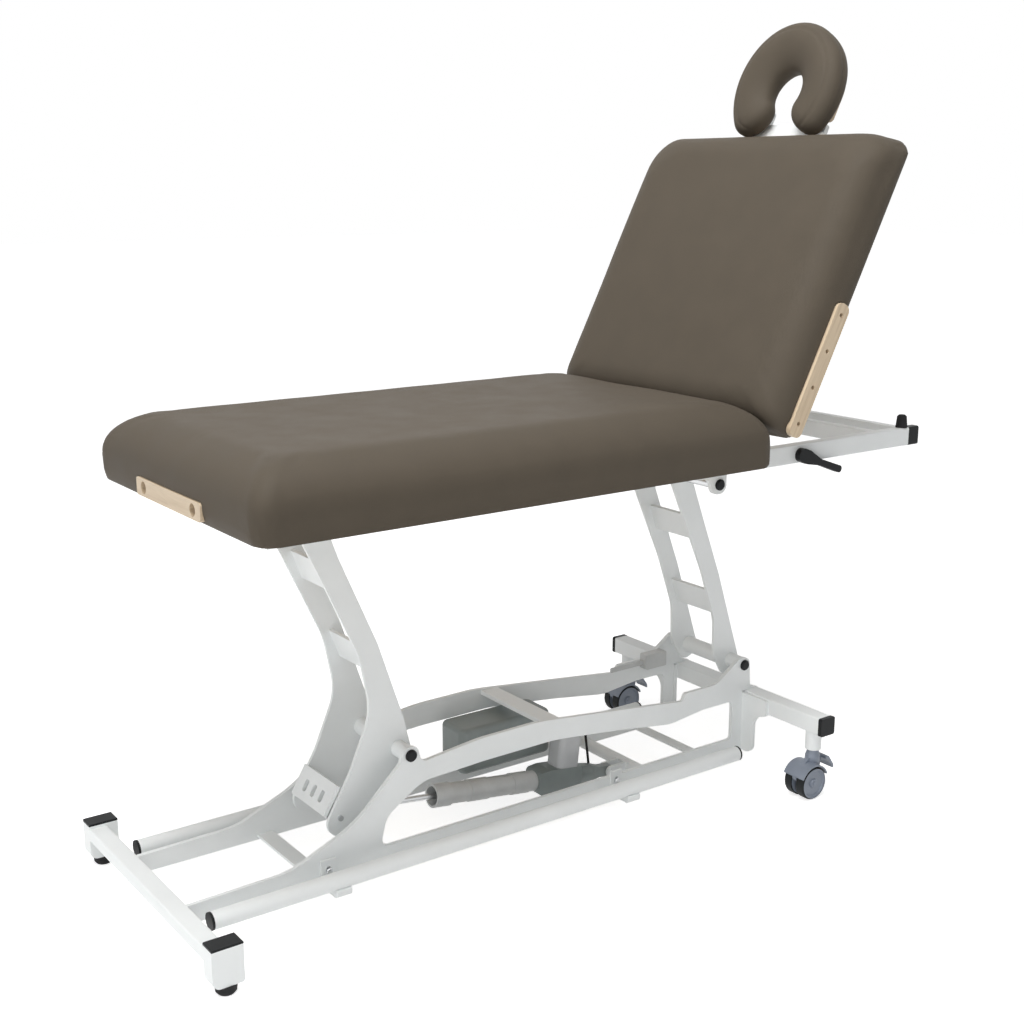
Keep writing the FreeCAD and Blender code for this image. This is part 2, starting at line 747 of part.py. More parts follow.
def frame_crossbar(name, x0, x1, z0, z1):
    return prism(name, "XZ", -d.rail_y, [rect(x0, z0, x1, z1, 2)], "2 * rail_y")


SPRING_X, SPRING_Z = 1740, 815
HINGE_TUBE_TOP = 826
part("frame_crossbars", group(
    "frame_crossbars",
    frame_crossbar("foot_crosstube", UPPER_FOOT_X - 25, UPPER_FOOT_X + 25, 800, d.pad_bottom),
    frame_crossbar("hinge_crosstube", d.hinge_x - 15, d.hinge_x + 15, HINGE_TUBE_TOP - 28, HINGE_TUBE_TOP),
    frame_crossbar("spring_crosstube", SPRING_X + 22, SPRING_X + 47, RAIL_BOTTOM, 826),
    frame_crossbar("head_crosstube", RAIL_END - 25, RAIL_END, RAIL_BOTTOM, d.pad_bottom),
))


def head_lug(side, sign):
    start = span(d.rail_y + d.rail_width - d.lug_thickness - 1, d.lug_thickness, sign)
    x = UPPER_HEAD_X
    edge = outline(
        (x - 74, RAIL_BOTTOM, 0), (x - 30, RAIL_BOTTOM - 6, 20), (x - 20, UPPER_Z - 22, 20),
        (x + 22, UPPER_Z - 22, 20), (x + 22, RAIL_BOTTOM, 0),
    )
    return prism("head_lug_" + side, "XZ", start, [edge, circle(x, UPPER_Z, d.shaft_radius)], "lug_thickness")


def foot_lug(side, sign):
    start = span(d.link_inner_y - d.lug_thickness - 1, d.lug_thickness, sign)
    x = UPPER_FOOT_X
    edge = outline(
        (x - 25, 800, 0), (x - 24, UPPER_Z - 22, 20), (x + 24, UPPER_Z - 22, 20), (x + 25, 800, 0),
    )
    return prism("foot_lug_" + side, "XZ", start, [edge, circle(x, UPPER_Z, d.shaft_radius)], "lug_thickness")


part("pivot_lugs", group("pivot_lugs", *mirrored_pair(head_lug), *mirrored_pair(foot_lug)))

LUG_OUTER_Y = d.rail_y + d.rail_width - 1


def upper_shaft(end, x, half):
    return prism("upper_shaft_" + end, "XZ", -half, [circle(x, UPPER_Z, d.shaft_radius)], 2 * half)


part("upper_shafts", group(
    "upper_shafts",
    upper_shaft("foot", UPPER_FOOT_X, LINK_OUTER_Y + 3),
    upper_shaft("head", UPPER_HEAD_X, LUG_OUTER_Y),
))


def upper_cap(side, sign):
    return pivot_cap("upper_cap_" + side, UPPER_HEAD_X, UPPER_Z, LUG_OUTER_Y, sign)


part("frame_caps", group("frame_caps", *mirrored_pair(rail_cap), *mirrored_pair(upper_cap)))


def hinge_post(side, sign):
    start = span(d.hinge_y - d.hinge_post_thickness / 2, d.hinge_post_thickness, sign)
    edge = outline(
        (d.hinge_x - 13, HINGE_TUBE_TOP, 0), (d.hinge_x + 13, HINGE_TUBE_TOP, 0),
        (d.hinge_x + 13, d.hinge_z + 13, 12.9), (d.hinge_x - 13, d.hinge_z + 13, 12.9),
    )
    post = prism("hinge_post_" + side, "XZ", start, [edge], "hinge_post_thickness")
    reach = d.hinge_post_thickness / 2 + d.hinge_lug_thickness + 3
    pin = prism(
        "hinge_pin_" + side, "XZ", sign * d.hinge_y - reach,
        [circle(d.hinge_x, d.hinge_z, d.hinge_pin_radius)], 2 * reach,
    )
    return fuse("hinge_arm_" + side, post, pin)


spring_ears = [
    prism(f"spring_ear_{index}", "XZ", y, [outline(
        (SPRING_X - 10, SPRING_Z - 10, 9), (SPRING_X + 22, SPRING_Z - 14, 0),
        (SPRING_X + 22, SPRING_Z + 10, 0), (SPRING_X - 10, SPRING_Z + 10, 9),
    )], 5)
    for index, y in enumerate((106, 129))
]
spring_pin = prism("spring_pin", "XZ", 106, [circle(SPRING_X, SPRING_Z, 5)], 28)
part("frame_brackets", group(
    "frame_brackets", *mirrored_pair(hinge_post), fuse("spring_mount", *spring_ears, spring_pin),
))

# Release lever on the near rail

LEVER_OUTER_Y = -d.rail_y - d.rail_width
lever_edge = outline(
    (-17, -17, 16.9), (17, -17, 16.9), (60, -9, 40), (140, -9, 8.4), (140, 9, 8.4), (60, 7, 40),
    (17, 17, 16.9), (-17, 17, 16.9),
)
lever_body = prism("lever_body", "XZ", LEVER_OUTER_Y - 15.5, [lever_edge], 15)
lever_spindle = prism("lever_spindle", "XZ", LEVER_OUTER_Y - 1, [circle(0, 0, SPINDLE_RADIUS)], 16)
part("release_lever", at(fuse("release_lever", lever_body, lever_spindle), LEVER_X, 0, LEVER_Z, Y_AXIS, 20.5))

# Cushions: lofts whose sides follow an ellipse, from a crisp lower rim to a flat crown

LEG_LOWER, LEG_UPPER = (14, 40, 10), (62, 58, 110)
BACK_LOWER, BACK_UPPER = (5, 7, 5), (58, 86, 58)
CROWN_STEPS = [math.radians(angle) for angle in range(-45, 91, 15)]


def cushion(name, x0, x1, bottom, height, lower, upper):
    """Lower and upper give how far the ellipse draws in the sides, the low end and the high end."""
    body = doc.addObject("PartDesign::Body", name)
    half = d.pad_width / 2
    rise = height / (1 - math.sin(CROWN_STEPS[0]))
    sections = []
    for index, turn in enumerate(CROWN_STEPS):
        side, low, high = [draw * (1 - math.cos(turn)) for draw in (lower if turn < 0 else upper)]
        level = bottom + height - rise * (1 - math.sin(turn))
        wire = rect(x0 + low, side - half, x1 - high, half - side, d.corner_radius)
        sections.append(sketch_on(body, f"{name}_level_{index}", "XY", level, [wire]))
    loft = body.newObject("PartDesign::AdditiveLoft", name + "_loft")
    loft.Profile = sections[0]
    loft.Sections = sections[1:]
    return body


OUTLET_HALF = 152
OUTLET_HOLE = 12.5
HALF_WIDTH = d.pad_width / 2


def deck(name, x0, x1, bottom, notches=()):
    half = HALF_WIDTH - d.deck_margin
    board = prism(name + "_board", "XY", bottom, [rect(x0, -half, x1, half, 20)], "deck_thickness")
    return cut(name, board, *notches) if notches else board


LEG_START = -d.leg_overhang
LEG_END = LEG_START + d.leg_length
leg_deck = deck("leg_deck", d.deck_margin, LEG_END - d.deck_margin, d.pad_bottom)
part("leg_deck", leg_deck)
leg_blank = cushion("leg_blank", LEG_START, LEG_END, d.pad_bottom, d.leg_height, LEG_LOWER, LEG_UPPER)
leg_deck_room = deck("leg_deck_room", d.deck_margin, LEG_END - d.deck_margin, d.pad_bottom)
OUTLET_Z0, OUTLET_Z1 = 837, 873
OUTLET_Z = (OUTLET_Z0 + OUTLET_Z1) / 2
outlet_room = prism(
    "outlet_room", "YZ", -20, [rect(-OUTLET_HALF - 1, OUTLET_Z0 - 1, OUTLET_HALF + 1, OUTLET_Z1 + 1, 8)], 27,
)
outlet_bores = [
    prism(f"outlet_bore_{index}", "YZ", 0, [circle(sign * d.post_y, OUTLET_Z, OUTLET_HOLE)], 130)
    for index, sign in enumerate((-1, 1))
]
part("leg_cushion", cut("leg_cushion", leg_blank, leg_deck_room, outlet_room, *outlet_bores))


def outlet_plate(name, x0, z0, z1, thickness):
    """Wooden strip with two holes for the posts of a face rest."""
    middle = (z0 + z1) / 2
    holes = [circle(sign * d.post_y, middle, OUTLET_HOLE) for sign in (-1, 1)]
    return prism(name, "YZ", x0, [rect(-OUTLET_HALF, z0, OUTLET_HALF, z1, 7), *holes], thickness)


part("foot_outlet_plate", outlet_plate("foot_outlet_plate", -12, OUTLET_Z0, OUTLET_Z1, 19))

# Back section, drawn flat from the hinge axis and then tilted up


def tilt_back(item):
    return at(item, d.hinge_x, 0, d.hinge_z, Y_AXIS, -d.back_angle)


BACK_LOW = -d.back_depth
DECK_TOP = BACK_LOW + d.deck_thickness
POCKET_HALF = 19
LUG_START, LUG_END = 22, 66


def hinge_pocket(name, sign, x1, top):
    pocket_edge = rect(-40, BACK_LOW - 2, x1, top)
    return prism(name, "XZ", sign * d.hinge_y - POCKET_HALF, [pocket_edge], 2 * POCKET_HALF)


def deck_notch(side, sign):
    return hinge_pocket("deck_notch_" + side, sign, 20, DECK_TOP + 2)


deck_notches = mirrored_pair(deck_notch)
part("back_deck", tilt_back(deck("back_deck", 4, d.back_reach - d.deck_margin, BACK_LOW, deck_notches)))

POST_N = -27
POST_START = 560
STRIP_N0, STRIP_N1 = -49, -9
STRIP_X0, STRIP_X1 = -8, 306
STRIP_HOLES = [22 + 86 * index for index in range(4)]
STRIP_DEPTH = 12
STRIP_PROUD = 4


def side_strip_wires(margin=0):
    return rect(STRIP_X0 - margin, STRIP_N0 - margin, STRIP_X1 + margin, STRIP_N1 + margin, 16)


def side_strip(side, sign):
    start = span(HALF_WIDTH + STRIP_PROUD - STRIP_DEPTH, STRIP_DEPTH, sign)
    holes = [circle(x, (STRIP_N0 + STRIP_N1) / 2, 5) for x in STRIP_HOLES]
    return prism("side_strip_" + side, "XZ", start, [side_strip_wires(), *holes], STRIP_DEPTH)


def strip_room(side, sign):
    start = span(HALF_WIDTH + STRIP_PROUD - STRIP_DEPTH, STRIP_DEPTH + 4, sign)
    return prism("strip_room_" + side, "XZ", start, [side_strip_wires(1)], STRIP_DEPTH + 4)


HEAD_OUTLET_X = d.back_reach - 17
HEAD_OUTLET_N = (POST_N - 18, POST_N + 18)
HEAD_ROOM_EDGE = rect(-OUTLET_HALF - 1, HEAD_OUTLET_N[0] - 1, OUTLET_HALF + 1, HEAD_OUTLET_N[1] + 1, 8)
part("back_outlet_strips", tilt_back(group(
    "back_outlet_strips", *mirrored_pair(side_strip),
    outlet_plate("head_outlet_plate", HEAD_OUTLET_X, *HEAD_OUTLET_N, 16),
)))

back_blank = cushion(
    "back_blank", -d.back_overlap, d.back_reach, BACK_LOW, d.back_height, BACK_LOWER, BACK_UPPER,
)
back_rooms = [
    deck("back_deck_room", 4, d.back_reach - d.deck_margin, BACK_LOW),
    prism("head_outlet_room", "YZ", HEAD_OUTLET_X, [HEAD_ROOM_EDGE], 30),
    *mirrored_pair(strip_room),
]
for room_side, room_sign in (("near", -1), ("far", 1)):
    back_rooms.append(hinge_pocket("hinge_pocket_" + room_side, room_sign, LUG_END + 4, 17))
    bore_edge = circle(room_sign * d.post_y, POST_N, OUTLET_HOLE)
    back_rooms.append(prism("post_bore_" + room_side, "YZ", POST_START - 10, [bore_edge], 200))
part("back_cushion", tilt_back(cut("back_cushion", back_blank, *back_rooms)))


def hinge_lugs(side, sign):
    edge = outline(
        (-13, -13, 12.9), (8, -13, 8), (LUG_START, DECK_TOP, 0), (LUG_END, DECK_TOP, 0),
        (LUG_END, -26, 4), (13, 13, 12), (-13, 13, 12.9),
    )
    gap = d.hinge_post_thickness / 2 + 1
    wires = [edge, circle(0, 0, d.hinge_pin_radius + d.running_gap)]
    return [
        prism(f"hinge_lug_{side}_{index}", "XZ", sign * d.hinge_y + offset, wires, "hinge_lug_thickness")
        for index, offset in enumerate((gap, -gap - d.hinge_lug_thickness))
    ]


SPRING_EYE = (120, -70)
SPRING_Y = 120
spring_foot = [
    prism(f"spring_foot_{index}", "XZ", y, [outline(
        (SPRING_EYE[0] - 10, SPRING_EYE[1] - 10, 9), (SPRING_EYE[0] + 10, SPRING_EYE[1] - 10, 9),
        (SPRING_EYE[0] + 18, BACK_LOW, 0), (SPRING_EYE[0] - 18, BACK_LOW, 0),
    )], 5)
    for index, y in enumerate((106, 129))
]
spring_foot_pin = prism("spring_foot_pin", "XZ", 106, [circle(*SPRING_EYE, 5)], 28)
part("back_brackets", tilt_back(group(
    "back_brackets", *hinge_lugs("near", -1), *hinge_lugs("far", 1),
    fuse("spring_bracket", *spring_foot, spring_foot_pin),
)))

# Locking gas spring under the back, open between rod and cylinder

back_turn = math.radians(d.back_angle)
spring_top = Vector(
    d.hinge_x + SPRING_EYE[0] * math.cos(back_turn) - SPRING_EYE[1] * math.sin(back_turn), 0,
    d.hinge_z + SPRING_EYE[0] * math.sin(back_turn) + SPRING_EYE[1] * math.cos(back_turn),
)
spring_run = spring_top - Vector(SPRING_X, 0, SPRING_Z)
SPRING_LENGTH = spring_run.Length
SPRING_TILT = math.degrees(math.atan2(spring_run.z, -spring_run.x))
CYLINDER_LENGTH = 236
SPRING_ROD = 226


def tilt_spring(item):
    return at(item, SPRING_X, SPRING_Y, SPRING_Z, Y_AXIS, SPRING_TILT)


SPRING_PIN = 5
cylinder_blank = fuse(
    "cylinder_blank", eye("cylinder_eye", 0, 11, 8), ring("cylinder_neck", 0, 20, 7, 0),
    ring("cylinder_base", 18, 6, 16, 0), ring("cylinder_wall", 24, CYLINDER_LENGTH - 24, 16, 14),
)
part("gas_spring_cylinder", tilt_spring(
    cut("gas_spring_cylinder", cylinder_blank, pin_bore("cylinder_bore", 0, SPRING_PIN)),
))
spring_rod_blank = fuse(
    "spring_rod_blank", eye("spring_rod_eye", SPRING_LENGTH, 11, 8),
    ring("spring_rod_bar", SPRING_LENGTH - SPRING_ROD, SPRING_ROD, 4, 0),
)
spring_rod = cut("gas_spring_rod", spring_rod_blank, pin_bore("spring_rod_bore", SPRING_LENGTH, SPRING_PIN))
part("gas_spring_rod", tilt_spring(spring_rod))

# Face rest: two posts on a bridge, a hinged cradle board and a horseshoe cushion

BRIDGE_X0, BRIDGE_X1 = 716, 750
BRIDGE_N0, BRIDGE_N1 = -39, -27
POST_END = 722
TILT_A, TILT_N = 784, -42
TILT_PIN = 3


def face_post(side, sign):
    return prism(
        "face_post_" + side, "YZ", POST_START, [circle(sign * d.post_y, POST_N, d.post_radius)],
        POST_END - POST_START,
    )


bridge_edge = rect(BRIDGE_X0, -123, BRIDGE_X1, 123, 8)
bridge = prism("face_bridge", "XY", BRIDGE_N0, [bridge_edge], BRIDGE_N1 - BRIDGE_N0)
bridge_ears = [
    prism(f"bridge_ear_{index}", "XZ", y, [outline(
        (BRIDGE_X0 + 8, BRIDGE_N0, 0), (BRIDGE_X1 - 8, TILT_N - 7, 8), (TILT_A + 7, TILT_N - 7, 6),
        (TILT_A + 7, TILT_N + 7, 6), (BRIDGE_X1, TILT_N + 7, 0), (BRIDGE_X1, BRIDGE_N0 + 6, 0),
        (BRIDGE_X0 + 8, BRIDGE_N0 + 6, 0),
    )], 10)
    for index, y in enumerate((-88, 78))
]
bridge_pins = [
    prism(f"bridge_pin_{index}", "XZ", y, [circle(TILT_A, TILT_N, TILT_PIN)], 25)
    for index, y in enumerate((-102, 77))
]
face_pieces = [*mirrored_pair(face_post), bridge, *bridge_ears, *bridge_pins]
part("face_frame", tilt_back(fuse("face_frame", *face_pieces)))

CRADLE_LOW, CRADLE_TOP = -34, -24
CRADLE_END = 755
CRADLE_OUTER, CRADLE_INNER = 132, 92
cradle_edge = outline(
    (CRADLE_END, -CRADLE_OUTER, 10), (d.face_centre + CRADLE_OUTER, -CRADLE_OUTER, CRADLE_OUTER - 0.01),
    (d.face_centre + CRADLE_OUTER, CRADLE_OUTER, CRADLE_OUTER - 0.01), (CRADLE_END, CRADLE_OUTER, 10),
    (CRADLE_END, CRADLE_INNER, 10), (d.face_centre + CRADLE_INNER, CRADLE_INNER, CRADLE_INNER - 0.01),
    (d.face_centre + CRADLE_INNER, -CRADLE_INNER, CRADLE_INNER - 0.01), (CRADLE_END, -CRADLE_INNER, 10),
)
cradle_board = prism("cradle_board", "XY", CRADLE_LOW, [cradle_edge], CRADLE_TOP - CRADLE_LOW)
knuckles = [
    fuse(f"cradle_knuckle_{index}",
         prism(f"knuckle_barrel_{index}", "XZ", y, [circle(TILT_A, TILT_N, 7)], 12),
         prism(f"knuckle_web_{index}", "XZ", y, [rect(TILT_A - 7, TILT_N, TILT_A + 7, CRADLE_LOW)], 12))
    for index, y in enumerate((-101, 89))
]
cradle_blank = fuse("cradle_blank", cradle_board, *knuckles)
tilt_bore = prism("tilt_bore", "XZ", -110, [circle(TILT_A, TILT_N, TILT_PIN + d.running_gap)], 220)
part("face_cradle", tilt_back(cut("face_cradle", cradle_blank, tilt_bore)))


def oval_face(half_width, half_height, half=False):
    """Section of the horseshoe cushion in the YZ plane, or its outer half only."""
    flat = half_width * 0.42
    shoulder = half_width - flat
    centre = (half_height ** 2 - shoulder ** 2) / (2 * half_height)
    radius = half_height - centre
    middle = (math.pi / 2 - math.atan2(centre, shoulder)) / 2
    bulge = Vector(0, flat + radius * math.cos(middle), centre + radius * math.sin(middle))
    upper = [Vector(0, half_width, 0), bulge, Vector(0, flat, half_height)]
    lower = [Vector(0, p.y, -p.z) for p in reversed(upper)]
    arcs = [Part.Arc(*upper).toShape(), Part.Arc(*lower).toShape()]
    left_upper = [Vector(0, -p.y, p.z) for p in reversed(upper)]
    left_lower = [Vector(0, p.y, -p.z) for p in reversed(left_upper)]
    if half:
        top, bottom = Vector(0, 0, half_height), Vector(0, 0, -half_height)
        edges = [
            Part.makeLine(top, upper[2]), arcs[0], arcs[1], Part.makeLine(lower[0], bottom),
            Part.makeLine(bottom, top),
        ]
    else:
        edges = [
            *arcs, Part.makeLine(lower[0], left_lower[2]), Part.Arc(*left_lower).toShape(),
            Part.Arc(*left_upper).toShape(), Part.makeLine(left_upper[2], upper[2]),
        ]
    return Part.Face(Part.Wire(Part.__sortEdges__(edges)))


def horseshoe_cushion():
    """Oval section turned half round the face hole, run down both legs and rounded at their ends."""
    centre = Vector(0, 0, 0)
    run = Vector(d.face_end + d.face_half_width - d.face_centre, 0, 0)
    cap = oval_face(d.face_half_width, d.face_half_height, half=True).revolve(centre, Z_AXIS, 180)
    sections = []
    pieces = []
    for sign in (1, -1):
        section = oval_face(d.face_half_width, d.face_half_height)
        section.translate(Vector(0, sign * d.face_ring_radius, 0))
        tip = cap.copy()
        tip.translate(run + Vector(0, sign * d.face_ring_radius, 0))
        sections.append(section)
        pieces += [section.extrude(run), tip]
    arch = sections[0].revolve(centre, Z_AXIS, -180)
    return arch.fuse(pieces).removeSplitter()


face_cushion = doc.addObject("Part::Feature", "face_cushion")
face_cushion.Shape = horseshoe_cushion()
face_offset = Placement(Vector(d.face_centre, 0, CRADLE_TOP + d.face_half_height + 0.2), Rotation())
part("face_cushion", face_cushion)
face_cushion.Placement = Placement(
    Vector(d.hinge_x, 0, d.hinge_z), Rotation(Y_AXIS, -d.back_angle),
) * face_offset

# Twin wheel casters, drawn with the trail along X and then turned to the parked angle


def park_caster(item, sign):
    return at(item, d.caster_x, sign * d.caster_y, 0, Z_AXIS, d.caster_yaw)


HEAD_LOW = 84
PEDAL_Z = 90
AXLE_RADIUS = 5


def twin_wheel(name, sign):
    """Dished disc with a rounded tyre, turned about the axle."""
    bore = AXLE_RADIUS + d.running_gap
    rim = d.disc_radius
    width = d.wheel_width
    disc_edge = outline(
        (bore, 0, 0), (rim, 0, 0), (rim, width - 1, 0), (rim - 4, width - 1, 0), (rim - 7, width - 5, 0),
        (12, width - 5, 0), (10, width, 0), (bore, width, 0),
    )
    tyre_edge = outline((rim, 0, 0), (d.wheel_radius, 0, 0), (d.wheel_radius, width, 6), (rim, width, 0))
    wheel = []
    for piece, edge in (("disc", disc_edge), ("tyre", tyre_edge)):
        item = revolved(f"{name}_{piece}", [edge])
        start = sign * d.wheel_offset
        wheel.append(at(item, d.wheel_trail, start, d.wheel_radius, Vector(1, 0, 0), -90 * sign))
    return group(name, *wheel)


def caster(side, sign):
    trail = d.wheel_trail
    axle_z = d.wheel_radius
    hood_inner = d.hood_radius - 3.5
    hood_edge = arc_band(trail, axle_z, d.hood_radius, hood_inner, math.radians(25), math.radians(158))
    hood = prism("caster_hood_" + side, "XZ", -31, [hood_edge], 62)
    web_edge = outline(
        (-24, PEDAL_Z + 6, 4), (17, PEDAL_Z + 6, 0), (trail + 30, axle_z + 33, 20),
        (trail + 40, axle_z + 12, 8), (trail + 10, axle_z - 12, 10), (trail - 10, axle_z - 12, 10),
        (trail - 38, axle_z + 14, 8), (-24, PEDAL_Z - 8, 4),
    )
    web = prism("caster_web_" + side, "XZ", -6, [web_edge], 12)
    head_edge = outline(
        (0, HEAD_LOW, 0), (18, HEAD_LOW, 0), (18, HEAD_LOW + 14, 6), (13, SOCKET_BOTTOM - 1, 0),
        (0, SOCKET_BOTTOM - 1, 0),
    )
    head = revolved("caster_head_" + side, [head_edge])
    stem = prism("caster_stem_" + side, "XY", SOCKET_BOTTOM - 2, [circle(0, 0, STEM_RADIUS)], 36)
    axle = prism("caster_axle_" + side, "XZ", -33, [circle(trail, axle_z, AXLE_RADIUS)], 66)
    part("caster_yoke_" + side, park_caster(fuse("caster_yoke_" + side, web, hood, head, stem, axle), sign))

    for wheel_side, wheel_sign in (("left", 1), ("right", -1)):
        name = f"caster_wheel_{side}_{wheel_side}"
        part(name, park_caster(twin_wheel(name, wheel_sign), sign))

    pedal_edge = outline(
        (-24.5, PEDAL_Z - 4, 3.9), (-24.5, PEDAL_Z + 4, 3.9), (-34, PEDAL_Z + 5, 6), (-52, PEDAL_Z - 20, 8),
        (-54, PEDAL_Z - 30, 2), (-49, PEDAL_Z - 30, 2), (-44, PEDAL_Z - 18, 8), (-33, PEDAL_Z - 5, 6),
    )
    pedal = prism("caster_pedal_" + side, "XZ", -20, [pedal_edge], 40)
    part("caster_pedal_" + side, park_caster(pedal, sign))


mirrored_pair(caster)

# Recompute, check every solid and write the sub-parts

doc.recompute()
bad = [o.Name for o in doc.Objects if "Invalid" in o.State or "Error" in o.State]
if bad:
    raise RuntimeError("objects that did not rebuild: " + ", ".join(bad))
for item in PARTS:
    item.Placement = Placement(Vector(-d.origin_x, 0, 0), Rotation()) * item.Placement
doc.recompute()
os.makedirs("parts", exist_ok=True)
for item in PARTS:
    shape = item.Shape
    if shape.isNull() or not shape.isValid() or shape.Volume < 1:
        raise RuntimeError("bad solid in " + item.Label)
    shape.exportStep(f"parts/{item.Label}.step")
print(len(PARTS), "sub-parts written")
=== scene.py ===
import json
import math

import bmesh
import bpy
import numpy as np
from mathutils import Matrix, Vector


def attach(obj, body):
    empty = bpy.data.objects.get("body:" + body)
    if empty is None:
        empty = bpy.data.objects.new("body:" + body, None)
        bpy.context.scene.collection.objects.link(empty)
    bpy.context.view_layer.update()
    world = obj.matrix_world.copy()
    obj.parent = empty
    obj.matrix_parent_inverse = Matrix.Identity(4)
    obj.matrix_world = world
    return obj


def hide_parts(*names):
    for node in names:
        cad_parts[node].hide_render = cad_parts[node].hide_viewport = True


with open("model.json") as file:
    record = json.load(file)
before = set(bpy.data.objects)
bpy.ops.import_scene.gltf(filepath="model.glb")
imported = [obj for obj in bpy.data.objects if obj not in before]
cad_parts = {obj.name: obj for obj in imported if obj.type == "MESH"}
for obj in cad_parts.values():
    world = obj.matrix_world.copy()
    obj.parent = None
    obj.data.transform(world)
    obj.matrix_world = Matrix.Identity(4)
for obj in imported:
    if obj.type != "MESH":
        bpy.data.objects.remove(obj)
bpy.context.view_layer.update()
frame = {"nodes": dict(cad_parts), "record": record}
nodes = frame["nodes"]
scene = bpy.context.scene

# The back and the face rest are drawn flat, and BACK puts them on the raised hinge

HINGE = Vector((0.345, 0.0, 0.915))
BACK_TILT = math.radians(62.6)
BACK = Matrix.Translation(HINGE) @ Matrix.Rotation(-BACK_TILT, 4, "Y")


# Materials

NOISE_LOW, NOISE_HIGH = 0.3, 0.7


def new_material(name, colour, roughness, metallic=0.0):
    material = bpy.data.materials.new(name)
    material.use_nodes = True
    tree = material.node_tree
    shader = tree.nodes["Principled BSDF"]
    shader.inputs["Base Color"].default_value = (*colour, 1)
    shader.inputs["Roughness"].default_value = roughness
    shader.inputs["Metallic"].default_value = metallic
    return material, tree, shader


def add(tree, kind, **inputs):
    node = tree.nodes.new(kind)
    for key, value in inputs.items():
        node.inputs[key.replace("_", " ")].default_value = value
    return node


def object_coords(tree, scale=(1, 1, 1), tilt=0.0):
    """Object coordinates, turned back by tilt about Y before they are scaled."""
    source = tree.nodes.new("ShaderNodeTexCoord")
    mapping = tree.nodes.new("ShaderNodeMapping")
    mapping.vector_type = "TEXTURE"
    mapping.inputs["Rotation"].default_value = (0, -tilt, 0)
    mapping.inputs["Scale"].default_value = [1 / factor for factor in scale]
    tree.links.new(source.outputs["Object"], mapping.inputs["Vector"])
    return mapping.outputs["Vector"]


def noise(tree, vector, **inputs):
    node = add(tree, "ShaderNodeTexNoise", **inputs)
    tree.links.new(vector, node.inputs["Vector"])
    return node.outputs["Fac"]


def ramp(tree, source, stops):
    node = tree.nodes.new("ShaderNodeValToRGB")
    elements = node.color_ramp.elements
    while len(elements) < len(stops):
        elements.new(0.5)
    for element, (place, colour) in zip(elements, stops):
        element.position = place
        element.color = (*colour, 1)
    tree.links.new(source, node.inputs["Fac"])
    return node.outputs["Color"]


def shade(colour, factor):
    return tuple(min(1.0, c * factor) for c in colour)


def bump(tree, shader, height, strength, distance):
    node = add(tree, "ShaderNodeBump", Strength=strength, Distance=distance)
    tree.links.new(height, node.inputs["Height"])
    tree.links.new(node.outputs["Normal"], shader.inputs["Normal"])


def vary_roughness(tree, shader, source, low, high):
    level = add(
        tree, "ShaderNodeMapRange",
        From_Min=NOISE_LOW, From_Max=NOISE_HIGH, To_Min=low, To_Max=high,
    )
    tree.links.new(source, level.inputs["Value"])
    tree.links.new(level.outputs["Result"], shader.inputs["Roughness"])


def mottled(tree, shader, vector, colour, scale, spread, roughness):
    """Slight variation of colour and roughness over the surface."""
    patches = noise(tree, vector, Scale=scale, Detail=5.0, Roughness=0.55)
    dark, light = shade(colour, 1 - spread), shade(colour, 1 + spread)
    colours = ramp(tree, patches, [(NOISE_LOW, dark), (NOISE_HIGH, light)])
    tree.links.new(colours, shader.inputs["Base Color"])
    vary_roughness(tree, shader, patches, roughness - 0.05, roughness + 0.06)


def powder_coat(name, colour, roughness=0.38):
    """Painted steel: fine orange peel with a soft gloss."""
    material, tree, shader = new_material(name, colour, roughness)
    vector = object_coords(tree)
    mottled(tree, shader, vector, colour, scale=9.0, spread=0.025, roughness=roughness)
    peel = noise(tree, vector, Scale=900.0, Detail=3.0)
    bump(tree, shader, peel, strength=0.12, distance=0.0006)
    return material


def vinyl(name, colour, roughness=0.56):
    """Upholstery vinyl: a fine pebbled grain of uneven cells, nearly matt."""
    material, tree, shader = new_material(name, colour, roughness)
    vector = object_coords(tree)
    mottled(tree, shader, vector, colour, scale=14.0, spread=0.045, roughness=roughness)
    warp = add(tree, "ShaderNodeTexNoise", Scale=240.0, Detail=3.0)
    uneven = add(tree, "ShaderNodeMixRGB", Fac=0.012)
    cells = add(tree, "ShaderNodeTexVoronoi", Scale=620.0)
    cells.feature = "DISTANCE_TO_EDGE"
    grain = add(
        tree, "ShaderNodeMapRange",
        From_Min=0.0, From_Max=0.12, To_Min=0.0, To_Max=1.0,
    )
    tree.links.new(vector, warp.inputs["Vector"])
    tree.links.new(vector, uneven.inputs["Color1"])
    tree.links.new(warp.outputs["Color"], uneven.inputs["Color2"])
    tree.links.new(uneven.outputs["Color"], cells.inputs["Vector"])
    tree.links.new(cells.outputs["Distance"], grain.inputs["Value"])
    bump(tree, shader, grain.outputs["Result"], strength=0.22, distance=0.0005)
    shader.inputs["Specular IOR Level"].default_value = 0.1
    shader.inputs["Sheen Weight"].default_value = 0.015
    shader.inputs["Sheen Roughness"].default_value = 0.5
    return material


def wood(name, light, dark, grain_axis, tilt=0.0):
    """Lacquered birch ply: long streaks along one axis."""
    material, tree, shader = new_material(name, light, 0.42)
    across, along = 26.0, 1.6
    squeeze = [across] * 3
    squeeze[grain_axis] = along
    vector = object_coords(tree, squeeze, tilt)
    streaks = noise(tree, vector, Scale=3.0, Detail=8.0, Roughness=0.62, Distortion=0.7)
    stops = [(0.3, dark), (0.55, light), (0.75, shade(light, 1.08))]
    tree.links.new(ramp(tree, streaks, stops), shader.inputs["Base Color"])
    bump(tree, shader, streaks, strength=0.1, distance=0.0006)
    return material


